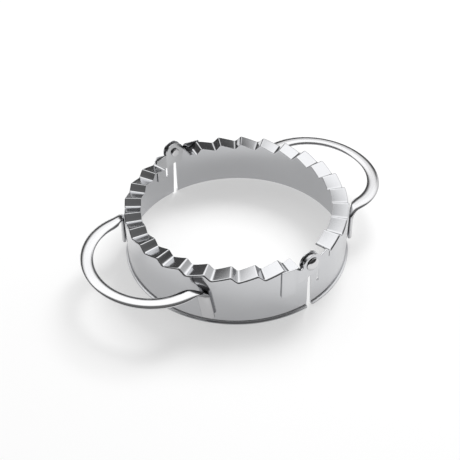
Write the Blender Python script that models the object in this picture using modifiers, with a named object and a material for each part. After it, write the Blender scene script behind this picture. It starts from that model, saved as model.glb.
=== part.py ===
"""Empanada press: a round crimping ring in two hinged halves, each with a flat looped handle.

Units are metres, +Z is up. The origin is on the worktop under the ring's centre, +X runs along
the handles and +Y along the hinge axis. Both halves are the same pressing, turned half a turn
about Z, so every piece of a half is made once, in the right half's place.
"""
import math

import bmesh
import bpy

# Ring sheet
rim_radius = 0.0600
flare_reach = 0.0012
flare_foot = 0.0006
flare_height = 0.0018
flare_mid_reach_share = 0.35
flare_mid_height_share = 0.55
sheet = 0.0008
flange_width = 0.0088
closing_gap = 0.0020
edge_bend_radius = 0.0019
edge_bend_steps = 3

# Crimped teeth, counted round both halves
tooth_count = 28
tooth_depth = 0.0035
tooth_steep_share = 0.25
columns_per_tooth = 8

# Ends of the half ring at the hinge
flange_start_teeth = 5.9375
flange_end_teeth = 6.5
raised_edge_drop = 0.0006
slit_foot_x = 0.0016
slit_top_x = 0.0005
slit_top_drop = 0.0094
slit_corner_radius = 0.0015
outer_end_x = 0.0012
pivot_notch_radius = 0.0052
slot_left_x = 0.0049
slot_width = 0.0014
slot_foot_z = 0.0140
slot_top_drop = 0.0082

# Hinge plates
pivot_height = 0.0294
plate_thickness = 0.0007
seat_gap = 0.0003
ear_wall_gap = 0.0006
ear_radius = 0.0057
ear_side_turn = math.radians(190)
ear_heel_x = 0.0043
ear_heel_drop = 0.0066
ear_foot_x = 0.0036
ear_foot_drop = 0.0073
ear_middle_drop = 0.0069
ear_throat_x = 0.0030
ear_throat_drop = 0.0077
neck_foot_x = 0.0046
neck_foot_drop = 0.0083
plate_foot_z = 0.0140
plate_corner = 0.0006
outer_plate_end_x = 0.0166
outer_plate_neck_x = 0.0093
outer_plate_rise = 0.0011
outer_plate_lip_x = 0.0096
outer_plate_dip_x = 0.0070
outer_plate_dip_drop = 0.0004
joggle_start_x = 0.0096
joggle_end_x = 0.0082
inner_plate_flange_gap = 0.0009
inner_plate_neck_x = 0.0068
inner_plate_drop = 0.0003
inner_plate_flat_x = 0.0052
ear_arc_steps = 16
plate_arc_steps = 6

# Rivets and washers
rivet_radius = 0.0015
running_clearance = 0.00005
rivet_seat_gap = 0.0002
rivet_head_radius = 0.00355
rivet_head_edge = 0.0002
rivet_head_height = 0.0017
rivet_tail_radius = 0.0024
rivet_tail_height = 0.0010
rivet_tail_chamfer = 0.0003
washer_radius = 0.0045
round_steps = 32
dome_steps = 5

# Handles
handle_drop = 0.0056
handle_thickness = 0.0018
handle_edge_radius = 0.0002
handle_centre_inset = 0.0036
handle_reach = 0.0332
handle_half_width = 0.0365
strip_width_tip = 0.0048
strip_width_side = 0.0064
strip_side_turn = math.radians(83.4)
strip_end_inner_reach = 0.0018
strip_end_outer_reach = 0.0033
strip_end_inner_turn = math.radians(30.95)
strip_end_outer_turn = math.radians(36.90)
handle_bend_height = 0.0025
tab_top_inner_turn = math.radians(34.0)
tab_top_outer_turn = math.radians(40.3)
tab_foot_inner_turn = math.radians(36.1)
tab_foot_outer_turn = math.radians(42.5)
tab_foot_z = 0.0045
tab_corner_radius = 0.0018
handle_arc_steps = 16
handle_bend_steps = 4
tab_corner_steps = 3
strip_columns = 2

# Working allowances
overrun = 0.0060
weld_distance = 0.000002
sharp_turn = math.radians(35)

# Sizes that follow from those above
quarter_turn = math.pi / 2
tooth_pitch = math.tau / tooth_count
wall_radius = rim_radius - flare_reach
flange_inner_radius = wall_radius - flange_width
flange_height = pivot_height - closing_gap / 2
wall_top_z = flange_height - edge_bend_radius
raised_edge_z = pivot_height - raised_edge_drop
slit_top_z = pivot_height - slit_top_drop
slot_top_z = pivot_height - slot_top_drop
outer_plate_top_z = pivot_height + outer_plate_rise
inner_plate_top_z = pivot_height - inner_plate_drop
handle_top_z = flange_height - handle_drop
handle_centre_x = wall_radius - handle_centre_inset
outer_plate_radius = wall_radius + seat_gap + plate_thickness / 2
outer_ear_y = wall_radius + ear_wall_gap + plate_thickness / 2
inner_plate_radius = wall_radius - sheet - seat_gap - plate_thickness / 2
inner_plate_end_x = inner_plate_radius * math.cos(flange_start_teeth * tooth_pitch) - inner_plate_flange_gap
inner_ear_y = wall_radius - sheet - ear_wall_gap - plate_thickness / 2
rivet_hole_radius = rivet_radius + running_clearance
rivet_head_y = outer_ear_y + plate_thickness / 2 + rivet_seat_gap
rivet_tail_y = inner_ear_y - plate_thickness / 2 - rivet_seat_gap
washer_outer_y = outer_ear_y - plate_thickness / 2 - rivet_seat_gap
washer_inner_y = inner_ear_y + plate_thickness / 2 + rivet_seat_gap
tab_radius = wall_radius + seat_gap


def clear_scene():
    """Remove whatever objects the scene starts with."""
    for old in list(bpy.data.objects):
        bpy.data.objects.remove(old, do_unlink=True)


def new_collection(name):
    """Collection linked to the scene."""
    collection = bpy.data.collections.new(name)
    bpy.context.scene.collection.children.link(collection)
    return collection


def steel(name, tone, roughness):
    """Steel with its own tone and roughness."""
    material = bpy.data.materials.new(name)
    material.use_nodes = True
    shader = material.node_tree.nodes["Principled BSDF"]
    shader.inputs["Base Color"].default_value = (tone, tone, tone, 1)
    shader.inputs["Metallic"].default_value = 1
    shader.inputs["Roughness"].default_value = roughness
    return material


# Mesh helpers

def scratch(name, data):
    """Object that exists only while a shape is being made."""
    obj = bpy.data.objects.new(name, data)
    bpy.context.scene.collection.objects.link(obj)
    return obj


def baked(obj):
    """Mesh of an object with its modifiers worked in; the object itself goes."""
    bpy.context.view_layer.update()
    graph = bpy.context.evaluated_depsgraph_get()
    mesh = bpy.data.meshes.new_from_object(obj.evaluated_get(graph))
    bpy.data.objects.remove(obj, do_unlink=True)
    return mesh


def welded(mesh):
    """The same mesh with doubled points welded and its faces turned outward."""
    work = bmesh.new()
    work.from_mesh(mesh)
    bmesh.ops.remove_doubles(work, verts=work.verts, dist=weld_distance)
    bmesh.ops.recalc_face_normals(work, faces=work.faces)
    work.to_mesh(mesh)
    work.free()
    return mesh


def smoothed(mesh):
    """The same mesh with smooth faces between its sharp edges."""
    mesh.shade_smooth()
    mesh.set_sharp_from_angle(angle=sharp_turn)
    return mesh


def thickened(name, mesh, thickness, side):
    """Surface made solid: side -1 grows it behind the faces, 0 both ways."""
    obj = scratch(name, mesh)
    solid = obj.modifiers.new("sheet", "SOLIDIFY")
    solid.thickness = thickness
    solid.offset = side
    solid.use_even_offset = True
    return welded(baked(obj))


def combined(name, mesh, tools, operation):
    """Mesh after an exact Boolean with each tool in turn."""
    obj = scratch(name, mesh)
    for tool in tools:
        step = obj.modifiers.new(tool.name, "BOOLEAN")
        step.operation = operation
        step.solver = "EXACT"
        step.object = tool
    return welded(baked(obj))


def arc(centre_x, centre_z, radius, start, end, steps):
    """Points along an arc, both ends included."""
    turns = [start + (end - start) * step / steps for step in range(steps + 1)]
    return [(centre_x + radius * math.cos(turn), centre_z + radius * math.sin(turn)) for turn in turns]


def prism(name, loops, middle_y, cutters):
    """Hidden solid with loops drawn in X and Z, running past the sheet either way along Y."""
    curve = bpy.data.curves.new(name, "CURVE")
    curve.dimensions = "2D"
    curve.fill_mode = "BOTH"
    curve.extrude = overrun
    for loop in loops:
        spline = curve.splines.new("POLY")
        spline.points.add(len(loop) - 1)
        for point, (x, z) in zip(spline.points, loop):
            point.co = (x, z, 0, 1)
        spline.use_cyclic_u = True
    mesh = welded(baked(scratch(name, curve)))
    obj = bpy.data.objects.new(name, mesh)
    obj.location.y = middle_y
    obj.rotation_euler.x = quarter_turn
    obj.hide_render = True
    obj.display_type = "WIRE"
    cutters.objects.link(obj)
    return obj


def turned(name, profile, turn, steps, closed):
    """Profile of radius and height turned about Z from +X."""
    mesh = bpy.data.meshes.new(name)
    links = [(index, index + 1) for index in range(len(profile) - 1)]
    if closed:
        links.append((len(profile) - 1, 0))
    mesh.from_pydata([(radius, 0, height) for radius, height in profile], links, [])
    obj = scratch(name, mesh)
    screw = obj.modifiers.new("turn", "SCREW")
    screw.angle = turn
    screw.steps = steps
    screw.render_steps = steps
    screw.merge_threshold = weld_distance
    screw.use_merge_vertices = turn == math.tau
    return baked(obj)


# Half ring

def tooth_share(turn):
    """Crimp height from -1 in a valley to 1 on a crest: a short fall, then a long rise."""
    phase = (turn / tooth_pitch + 0.5) % 1 - 0.5
    steep = tooth_steep_share / 2
    if abs(phase) < steep:
        return -phase / steep
    rise = (abs(phase) - steep) / (0.5 - steep)
    return math.copysign(1 - rise, -phase)


def turn_of(point):
    """Angle of a point round the ring, from +X."""
    return math.atan2(point.y, point.x)


def ring_profile():
    """Outer side of the sheet, from the flange's inner edge down to the worktop."""
    bend_centre = wall_radius - edge_bend_radius
    bend = arc(bend_centre, wall_top_z, edge_bend_radius, quarter_turn, 0, edge_bend_steps)
    mid_radius = wall_radius + flare_reach * flare_mid_reach_share
    mid_z = flare_height - (flare_height - flare_foot) * flare_mid_height_share
    flare = [(wall_radius, flare_height), (mid_radius, mid_z), (rim_radius, flare_foot), (rim_radius, 0)]
    return [(flange_inner_radius, flange_height)] + bend + flare


def split_at(work, turn):
    """Add an edge line across the sheet at an angle round the ring."""
    side = (-math.sin(turn), math.cos(turn), 0)
    whole = work.verts[:] + work.edges[:] + work.faces[:]
    bmesh.ops.bisect_plane(work, geom=whole, dist=weld_distance, plane_co=(0, 0, 0), plane_no=side)


def drop_flange_ends(work, start, end):
    """Remove the bend and flange beyond the angles where they start and end."""
    doomed = []
    for face in work.faces:
        middle = face.calc_center_median()
        if middle.z > wall_top_z and not start < turn_of(middle) < end:
            doomed.append(face)
    bmesh.ops.delete(work, geom=doomed, context="FACES")


def bare_top_edges(work, start):
    """Wall-top edges beside the inner hinge plate, where there is no flange."""
    found = []
    for edge in work.edges:
        level = all(abs(vert.co.z - wall_top_z) < weld_distance for vert in edge.verts)
        middle = (edge.verts[0].co + edge.verts[1].co) / 2
        if level and edge.is_boundary and turn_of(middle) < start:
            found.append(edge)
    return found


def raise_edges(work, edges):
    """Grow the wall up from its top edges to the straight raised edge."""
    grown = bmesh.ops.extrude_edge_only(work, edges=edges)["geom"]
    for vert in [item for item in grown if isinstance(item, bmesh.types.BMVert)]:
        vert.co.z = raised_edge_z


def face_outward(work):
    """Turn the surface so that the wall faces away from the ring's axis."""
    bmesh.ops.recalc_face_normals(work, faces=work.faces)
    wall = max(work.faces, key=lambda face: face.calc_area())
    if wall.normal.dot(wall.calc_center_median()) < 0:
        bmesh.ops.reverse_faces(work, faces=work.faces)


def ring_surface():
    """Half ring as a thin surface: flared foot, wall, bend and crimped flange."""
    steps = tooth_count * columns_per_tooth // 2
    mesh = turned("ring_surface", ring_profile(), math.pi, steps, False)
    start = -flange_start_teeth * tooth_pitch
    end = flange_end_teeth * tooth_pitch
    work = bmesh.new()
    work.from_mesh(mesh)
    for vert in work.verts:
        vert.co.x, vert.co.y = vert.co.y, -vert.co.x
    split_at(work, start)
    split_at(work, end)
    drop_flange_ends(work, start, end)
    bare_edges = bare_top_edges(work, start)
    for vert in work.verts:
        if vert.co.z > wall_top_z - weld_distance:
            vert.co.z += tooth_depth * tooth_share(turn_of(vert.co)) / 2
    raise_edges(work, bare_edges)
    face_outward(work)
    work.to_mesh(mesh)
    work.free()
    return mesh


def notch_arc(end_x):
    """Round clearance about the pivot, from a straight wall end up and over to the axis."""
    start = math.asin(end_x / pivot_notch_radius) - quarter_turn
    return arc(0, pivot_height, pivot_notch_radius, start, quarter_turn, ear_arc_steps)


def inner_end_outline():
    """What the wall loses at the inner plate's end: a tapering slit with a rounded foot."""
    corner_x = slit_foot_x + slit_corner_radius
    corner = arc(corner_x, slit_corner_radius, slit_corner_radius, -quarter_turn, -math.pi, tab_corner_steps)
    foot = [(-overrun, -overrun), (corner_x, -overrun)]
    head = [(-overrun, pivot_height + pivot_notch_radius)]
    return foot + corner + [(slit_top_x, slit_top_z)] + notch_arc(slit_top_x) + head


def outer_end_outline():
    """What the wall loses at the outer plate's end: a straight upright edge."""
    foot = [(-overrun, -overrun), (outer_end_x, -overrun)]
    head = [(-overrun, pivot_height + pivot_notch_radius)]
    return foot + notch_arc(outer_end_x) + head


def slot_outline():
    """Short upright slot with round ends."""
    radius = slot_width / 2
    middle = slot_left_x + radius
    top = arc(middle, slot_top_z - radius, radius, 0, math.pi, dome_steps)
    foot = arc(middle, slot_foot_z + radius, radius, math.pi, math.tau, dome_steps)
    return top + foot


def half_ring(cutters):
    """Crimping half ring, made solid and cut clear of the hinge."""
    mesh = thickened("half_ring", ring_surface(), sheet, -1)
    tools = [
        prism("inner_end_cut", [inner_end_outline()], -wall_radius, cutters),
        prism("outer_end_cut", [outer_end_outline()], wall_radius, cutters),
        prism("slot_cut", [slot_outline()], -wall_radius, cutters),
    ]
    return smoothed(combined("half_ring", mesh, tools, "DIFFERENCE"))


# Hinge plates

def ear_loop():
    """Ear's edge, from the top of its near side over the disc and back along its foot."""
    disc = arc(0, pivot_height, ear_radius, 0, ear_side_turn, ear_arc_steps)
    foot = [(-ear_heel_x, ear_heel_drop), (-ear_foot_x, ear_foot_drop), (0, ear_middle_drop),
            (ear_throat_x, ear_throat_drop), (neck_foot_x, neck_foot_drop)]
    return disc + [(x, pivot_height - drop) for x, drop in foot]


def body_loop(neck_x, end_x, top_z):
    """Plate's edge beyond its neck, with small corners at the foot."""
    throat = [(neck_x, pivot_height - neck_foot_drop)]
    foot_in = [(neck_x, plate_foot_z + plate_corner), (neck_x + plate_corner, plate_foot_z)]
    foot_out = [(end_x - plate_corner, plate_foot_z), (end_x, plate_foot_z + plate_corner)]
    return throat + foot_in + foot_out + [(end_x, top_z)]


def rivet_hole_loop():
    """Hole about the pivot axis."""
    return arc(0, pivot_height, rivet_hole_radius, 0, math.tau, round_steps)[:-1]


def bent_plate(name, path, outline, side, cutters):
    """Sheet stood on a bent plan line, trimmed to an outline with the rivet hole in it."""
    line = bpy.data.curves.new(name, "CURVE")
    line.dimensions = "3D"
    line.extrude = pivot_height / 2
    spline = line.splines.new("POLY")
    spline.points.add(len(path) - 1)
    for point, (x, y) in zip(spline.points, path):
        point.co = (x, side * y, pivot_height * 3 / 4, 1)
    strip = thickened(name, baked(scratch(name, line)), plate_thickness, 0)
    trim = prism(name + "_trim", [outline, rivet_hole_loop()], side * wall_radius, cutters)
    return smoothed(combined(name, strip, [trim], "INTERSECT"))


def outer_plate(cutters):
    """Plate on the outside of the wall, stepped out to an ear that laps over the other half."""
    far = math.acos((outer_plate_end_x + plate_corner) / outer_plate_radius)
    near = math.acos(joggle_start_x / outer_plate_radius)
    path = arc(0, 0, outer_plate_radius, far, near, plate_arc_steps)
    path += [(joggle_end_x, outer_ear_y), (-ear_radius - plate_corner, outer_ear_y)]
    body = body_loop(outer_plate_neck_x, outer_plate_end_x, outer_plate_top_z)
    lip = [(outer_plate_lip_x, outer_plate_top_z), (outer_plate_dip_x, pivot_height - outer_plate_dip_drop)]
    return bent_plate("outer_plate", path, ear_loop() + body + lip, 1, cutters)


def inner_plate(cutters):
    """Plate on the inside of the wall, running on as a flat ear behind the other half."""
    far = math.acos((inner_plate_end_x + plate_corner) / inner_plate_radius)
    near = math.acos(inner_plate_neck_x / inner_plate_radius)
    path = arc(0, 0, inner_plate_radius, far, near, plate_arc_steps)
    path += [(inner_plate_flat_x, inner_ear_y), (-ear_radius - plate_corner, inner_ear_y)]
    body = body_loop(inner_plate_neck_x, inner_plate_end_x, inner_plate_top_z)
    shoulder = [(ear_radius, inner_plate_top_z)]
    return bent_plate("inner_plate", path, ear_loop()[1:] + body + shoulder, -1, cutters)


# Rivets and washers

def stood_on_pivot(mesh):
    """Turned piece laid along the hinge axis, its turning axis through the pivot on the +Y side."""
    work = bmesh.new()
    work.from_mesh(mesh)
    for vert in work.verts:
        x, y, reach = vert.co
        vert.co = (x, reach, pivot_height - y)
    work.to_mesh(mesh)
    work.free()
    return smoothed(welded(mesh))


def rivet():
    """Domed head outside the outer ear, shank through both ears, small tail inside."""
    rise = rivet_head_height - rivet_head_edge
    sphere = (rivet_head_radius ** 2 + rise ** 2) / (2 * rise)
    rim_turn = math.asin(rivet_head_radius / sphere)
    centre = rivet_head_y + rivet_head_height - sphere
    dome = arc(0, centre, sphere, quarter_turn, quarter_turn - rim_turn, dome_steps)
    head = [(0, dome[0][1])] + dome[1:] + [(rivet_head_radius, rivet_head_y)]
    tail_end = rivet_tail_y - rivet_tail_height
    shank = [(rivet_radius, rivet_head_y), (rivet_radius, rivet_tail_y), (rivet_tail_radius, rivet_tail_y)]
    tail = [(rivet_tail_radius, tail_end + rivet_tail_chamfer),
            (rivet_tail_radius - rivet_tail_chamfer, tail_end), (0, tail_end)]
    return stood_on_pivot(turned("rivet", head + shank + tail, math.tau, round_steps, False))


def washer():
    """Spacer that fills the room between the two ears."""
    outer = [(washer_radius, washer_outer_y), (washer_radius, washer_inner_y)]
    inner = [(rivet_hole_radius, washer_inner_y), (rivet_hole_radius, washer_outer_y)]
    return stood_on_pivot(turned("washer", outer + inner, math.tau, round_steps, True))


# Handles

def looped_stations():
    """Inner and outer edge points of the flat loop, from its tip round to its side."""
    stations = []
    for step in range(handle_arc_steps + 1):
        turn = strip_side_turn * step / handle_arc_steps
        share = (turn / strip_side_turn) ** 2
        width = strip_width_tip + (strip_width_side - strip_width_tip) * share
        edges = []
        for inset in (width, 0):
            x = handle_centre_x + (handle_reach - inset) * math.cos(turn)
            y = (handle_half_width - inset) * math.sin(turn)
            edges.append((x, y, handle_top_z))
        stations.append(edges)
    return stations


def on_wall(turn, z):
    """Point where the tab lies against the ring's wall."""
    return (tab_radius * math.cos(turn), tab_radius * math.sin(turn), z)


def off_wall(turn, reach):
    """Point of the flat strip that lies a reach out from the tab's place on the wall."""
    return ((tab_radius + reach) * math.cos(turn), (tab_radius + reach) * math.sin(turn))


def bend_stations():
    """Edge points over the bend from the flat strip's end down to the wall."""
    tab_top_z = handle_top_z - handle_bend_height
    inner = off_wall(strip_end_inner_turn, strip_end_inner_reach), on_wall(tab_top_inner_turn, tab_top_z)
    outer = off_wall(strip_end_outer_turn, strip_end_outer_reach), on_wall(tab_top_outer_turn, tab_top_z)
    stations = []
    for step in range(handle_bend_steps + 1):
        turn = quarter_turn * step / handle_bend_steps
        edges = []
        for start, end in (inner, outer):
            x = start[0] + (end[0] - start[0]) * math.sin(turn)
            y = start[1] + (end[1] - start[1]) * math.sin(turn)
            edges.append((x, y, handle_top_z - handle_bend_height * (1 - math.cos(turn))))
        stations.append(edges)
    return stations


def tab_stations():
    """Edge points down the tab, which leans a little and ends in rounded corners."""
    drop = handle_top_z - handle_bend_height - tab_foot_z
    stations = []
    for step in range(tab_corner_steps + 1):
        turn = quarter_turn * step / tab_corner_steps
        z = tab_foot_z + tab_corner_radius * (1 - math.sin(turn))
        share = 1 - (z - tab_foot_z) / drop
        inset = tab_corner_radius * (1 - math.cos(turn)) / tab_radius
        inner = tab_top_inner_turn + (tab_foot_inner_turn - tab_top_inner_turn) * share
        outer = tab_top_outer_turn + (tab_foot_outer_turn - tab_top_outer_turn) * share
        stations.append([on_wall(inner + inset, z), on_wall(outer - inset, z)])
    return stations


def strip_point(edges, share):
    """Point across the strip; below the bend the strip's back follows the wall."""
    inner, outer = edges
    x, y, z = (low + (high - low) * share for low, high in zip(inner, outer))
    if z < handle_top_z - handle_bend_height + weld_distance:
        return on_wall(math.atan2(y, x), z)
    return (x, y, z)


def handle():
    """Looped handle: half of the strip as a surface, mirrored, made solid, edges eased."""
    stations = looped_stations() + bend_stations() + tab_stations()
    work = bmesh.new()
    rows = len(stations) - 1
    grid = bmesh.ops.create_grid(work, x_segments=rows, y_segments=strip_columns, size=1)["verts"]
    for vert in grid:
        station = stations[round((vert.co.x + 1) / 2 * rows)]
        vert.co = strip_point(station, (vert.co.y + 1) / 2)
    bmesh.ops.recalc_face_normals(work, faces=work.faces)
    if max(work.faces, key=lambda face: face.calc_center_median().x).normal.z < 0:
        bmesh.ops.reverse_faces(work, faces=work.faces)
    mesh = bpy.data.meshes.new("handle")
    work.to_mesh(mesh)
    work.free()
    obj = scratch("handle", mesh)
    mirror = obj.modifiers.new("other_side", "MIRROR")
    mirror.use_axis = (False, True, False)
    mirror.merge_threshold = weld_distance
    solid = obj.modifiers.new("sheet", "SOLIDIFY")
    solid.thickness = handle_thickness
    solid.offset = -1
    solid.use_even_offset = True
    ease = obj.modifiers.new("eased_edges", "BEVEL")
    ease.width = handle_edge_radius
    ease.segments = 1
    ease.limit_method = "ANGLE"
    ease.angle_limit = math.pi / 3
    return smoothed(welded(baked(obj)))


# Assembly

def pivot_frame(name, turn, parts):
    """Empty on the hinge axis that carries one half."""
    frame = bpy.data.objects.new(name, None)
    frame.location.z = pivot_height
    frame.rotation_euler.z = turn
    parts.objects.link(frame)
    return frame


def place(name, mesh, frame, turn, tone, roughness, parts):
    """Named piece on a half's frame, with its own steel."""
    obj = bpy.data.objects.new(name, mesh.copy())
    obj.data.name = name
    obj.data.materials.clear()
    obj.data.materials.append(steel(name, tone, roughness))
    obj.parent = frame
    obj.location.z = -pivot_height
    obj.rotation_euler.z = turn
    parts.objects.link(obj)
    return obj


def main():
    """Build both halves on the shared hinge axis."""
    clear_scene()
    parts = new_collection("empanada_press")
    cutters = new_collection("cutters")
    ring_mesh = half_ring(cutters)
    handle_mesh = handle()
    outer_mesh = outer_plate(cutters)
    inner_mesh = inner_plate(cutters)
    rivet_mesh = rivet()
    washer_mesh = washer()
    left = pivot_frame("left_half", math.pi, parts)
    right = pivot_frame("right_half", 0, parts)
    place("left_shell", ring_mesh, left, 0, 0.62, 0.16, parts)
    place("right_shell", ring_mesh, right, 0, 0.66, 0.16, parts)
    place("left_handle", handle_mesh, left, 0, 0.80, 0.20, parts)
    place("right_handle", handle_mesh, right, 0, 0.80, 0.20, parts)
    place("front_outer_hinge_plate", outer_mesh, left, 0, 0.64, 0.18, parts)
    place("rear_outer_hinge_plate", outer_mesh, right, 0, 0.64, 0.18, parts)
    place("front_inner_hinge_plate", inner_mesh, right, 0, 0.60, 0.20, parts)
    place("rear_inner_hinge_plate", inner_mesh, left, 0, 0.60, 0.20, parts)
    place("front_rivet", rivet_mesh, left, 0, 0.72, 0.12, parts)
    place("rear_rivet", rivet_mesh, left, math.pi, 0.72, 0.12, parts)
    place("front_washer", washer_mesh, left, 0, 0.50, 0.30, parts)
    place("rear_washer", washer_mesh, left, math.pi, 0.50, 0.30, parts)


main()
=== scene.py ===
"""Dressed empanada press: two crimping half rings of polished steel on a shared hinge.

Metres, +Z up. The origin is on the worktop under the ring's centre, +X runs along the handles
and +Y along the hinge axis. The pieces of a half are made in the right half's place and turned
half a turn about Z for the left half.
"""

import logging
import math
from dataclasses import dataclass, field
from enum import Enum
from typing import Callable, Sequence

import bpy
import numpy as np
from mathutils import Matrix, Vector
from mathutils.geometry import delaunay_2d_cdt

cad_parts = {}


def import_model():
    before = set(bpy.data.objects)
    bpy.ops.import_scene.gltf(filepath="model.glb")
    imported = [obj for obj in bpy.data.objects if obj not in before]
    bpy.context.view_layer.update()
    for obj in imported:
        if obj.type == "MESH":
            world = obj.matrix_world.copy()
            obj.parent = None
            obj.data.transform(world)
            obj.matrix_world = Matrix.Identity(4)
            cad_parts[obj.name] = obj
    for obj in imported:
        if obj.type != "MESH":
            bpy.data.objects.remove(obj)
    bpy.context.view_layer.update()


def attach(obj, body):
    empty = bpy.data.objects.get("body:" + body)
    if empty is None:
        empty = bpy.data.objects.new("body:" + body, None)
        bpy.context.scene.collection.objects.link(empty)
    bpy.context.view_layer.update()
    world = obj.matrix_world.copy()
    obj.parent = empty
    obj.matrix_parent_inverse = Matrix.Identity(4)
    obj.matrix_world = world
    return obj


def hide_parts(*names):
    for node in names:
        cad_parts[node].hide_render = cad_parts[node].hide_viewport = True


LOG = logging.getLogger("empanada_press")
MM = 0.001
PIVOT_HEIGHT = 29.4 * MM  # height of the hinge axis
RIVET_HOLE = 1.55 * MM  # radius of the holes round a rivet
NEARLY_STRAIGHT = math.radians(88)  # half a corner's angle from which it isn't rounded
LONGEST_EASE = 0.48  # most of a side that one rounding may take
CORNER_STEP = math.radians(14)  # turn of one chord in a rounded corner
SHARPEST_MITRE = 0.45  # least cosine with which a corner is set in
POINT_GAP = 0.16 * MM  # least gap between form points and an outline
SAME_PLACE = 1e-7  # length under which two outline points are one
FILL_GAP = 1e-6  # gap in millimetres under which the filling takes two points as one
BATCH = 2000  # points that are tested at once
FLAT_TRIES = 30  # rounds in which a point's flat height is found
MARK_RINGS = (0.25, 0.5, 0.75, 1.0)  # sizes of the point rings in a weld mark
MARK_SIDES = 16  # points in each of them
TURNED_SHARP = math.radians(38)  # angle from which a turned piece has a sharp edge
WHITE = (1.0, 1.0, 1.0, 1.0)
Placing = Callable[[np.ndarray, np.ndarray], np.ndarray]
Rounding = Callable[[np.ndarray], np.ndarray]


class Half(Enum):
    """The two halves, by the turn about Z from the place where a half's pieces are made."""

    RIGHT = 0.0
    LEFT = math.pi

    @property
    def body(self) -> str:
        """Name of the moving body that the half's pieces ride on."""
        return "left_half" if self is Half.LEFT else "right_half"


class Grain(Enum):
    """Course of the fine polishing lines on a piece, with the pattern's scales along and across."""

    ROUND = (2.2, 1100.0)
    UPRIGHT = (25.0, 1200.0)
    TURNED = (1.0, 2600.0)


# Arrays and objects

def unit(vectors: np.ndarray) -> np.ndarray:
    """Scale each row to length one."""
    return vectors / np.linalg.norm(vectors, axis=1, keepdims=True)


def meshed(across: np.ndarray, up: np.ndarray) -> np.ndarray:
    """Cross columns with rows into a list of flat points."""
    return np.stack(np.meshgrid(across, up), axis=2).reshape(-1, 2)


def linked(name: str, data: bpy.types.ID) -> bpy.types.Object:
    """Make an object for a mesh, a lamp or a camera and put it in the scene."""
    obj = bpy.data.objects.new(name, data)
    bpy.context.scene.collection.objects.link(obj)
    return obj


# Outlines

def smooth_step(share: np.ndarray) -> np.ndarray:
    """Ease a share between 0 and 1 with level ends."""
    held = np.clip(share, 0.0, 1.0)
    return held * held * (3.0 - 2.0 * held)


def arc(centre: tuple[float, float], radius: float, start: float, end: float,
        steps: int) -> list[tuple[float, float]]:
    """Make the points of an arc of so many chords, both ends included."""
    turns = np.linspace(start, end, steps + 1)
    return [(centre[0] + radius * math.cos(turn), centre[1] + radius * math.sin(turn)) for turn in turns]


def eased_outline(corners: Sequence[tuple[float, float, float]]) -> np.ndarray:
    """Round the corners of a closed outline.

    Args:
        corners: Corner points, each with the radius that it is rounded to.

    Returns:
        Outline points, corner arcs included.
    """
    points = np.array([corner[:2] for corner in corners])
    made: list[np.ndarray] = []
    for index, (_, _, radius) in enumerate(corners):
        here = points[index]
        back, ahead = points[index - 1] - here, points[(index + 1) % len(points)] - here
        back_length, ahead_length = np.linalg.norm(back), np.linalg.norm(ahead)
        back, ahead = back / back_length, ahead / ahead_length
        half = math.acos(float(np.clip(back @ ahead, -1.0, 1.0))) / 2
        if radius <= 0 or half > NEARLY_STRAIGHT:
            made.append(here)
            continue
        reach = min(radius / math.tan(half), LONGEST_EASE * min(back_length, ahead_length))
        fitted = reach * math.tan(half)
        middle = here + (back + ahead) / np.linalg.norm(back + ahead) * fitted / math.sin(half)
        first, last = here + back * reach - middle, here + ahead * reach - middle
        sweep = math.atan2(first[0] * last[1] - first[1] * last[0], float(first @ last))
        count = max(2, math.ceil(abs(sweep) / CORNER_STEP))
        for turn in np.linspace(0.0, sweep, count + 1):
            c, s = math.cos(turn), math.sin(turn)
            made.append(middle + np.array([c * first[0] - s * first[1], s * first[0] + c * first[1]]))
    return np.array(made)


def divided(loop: np.ndarray, step: float) -> np.ndarray:
    """Add points to a closed outline so that no side is longer than a step.

    Args:
        loop: Outline points.
        step: Longest side that may stay.

    Returns:
        Outline with the added points.
    """
    made = []
    for here, there in zip(loop, np.roll(loop, -1, axis=0)):
        length = float(np.linalg.norm(there - here))
        if length < SAME_PLACE:
            continue
        count = max(1, math.ceil(length / step))
        made.extend(here + (there - here) * index / count for index in range(count))
    return np.array(made)


def wound(loop: np.ndarray, left_handed: bool) -> np.ndarray:
    """Wind an outline so that the sheet lies on its left, or on its right for a hole's inside."""
    x, y = loop[:, 0], loop[:, 1]
    area = float(np.sum(x * np.roll(y, -1) - y * np.roll(x, -1)))
    return loop if (area > 0) != left_handed else loop[::-1]


def outward_of(loop: np.ndarray) -> tuple[np.ndarray, np.ndarray]:
    """Find which way an outline faces at each point.

    Args:
        loop: Outline with the sheet on its left.

    Returns:
        Unit directions away from the sheet, and how far each reaches for a unit offset.
    """
    before, after = unit(loop - np.roll(loop, 1, axis=0)), unit(np.roll(loop, -1, axis=0) - loop)
    right_before = np.c_[before[:, 1], -before[:, 0]]
    right_after = np.c_[after[:, 1], -after[:, 0]]
    middle = unit(right_before + right_after)
    return middle, 1.0 / np.maximum(np.sum(middle * right_before, axis=1), SHARPEST_MITRE)


def within(points: np.ndarray, loops: Sequence[np.ndarray]) -> np.ndarray:
    """Tell which points lie on the sheet, by how often a level line meets the outlines.

    Args:
        points: Points to test.
        loops: Outlines, holes included.

    Returns:
        One truth value for each point.
    """
    inside = np.zeros(len(points), bool)
    for loop in loops:
        ends = np.roll(loop, -1, axis=0)
        for low in range(0, len(points), BATCH):
            part = points[low:low + BATCH]
            x, y = part[:, 0:1], part[:, 1:2]
            above = (loop[None, :, 1] > y) != (ends[None, :, 1] > y)
            rise = ends[None, :, 1] - loop[None, :, 1]
            rise = np.where(rise == 0.0, 1.0, rise)
            meet = loop[None, :, 0] + (y - loop[None, :, 1]) * (ends[None, :, 0] - loop[None, :, 0]) / rise
            inside[low:low + BATCH] ^= (np.sum(above & (x < meet), axis=1) % 2).astype(bool)
    return inside


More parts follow.
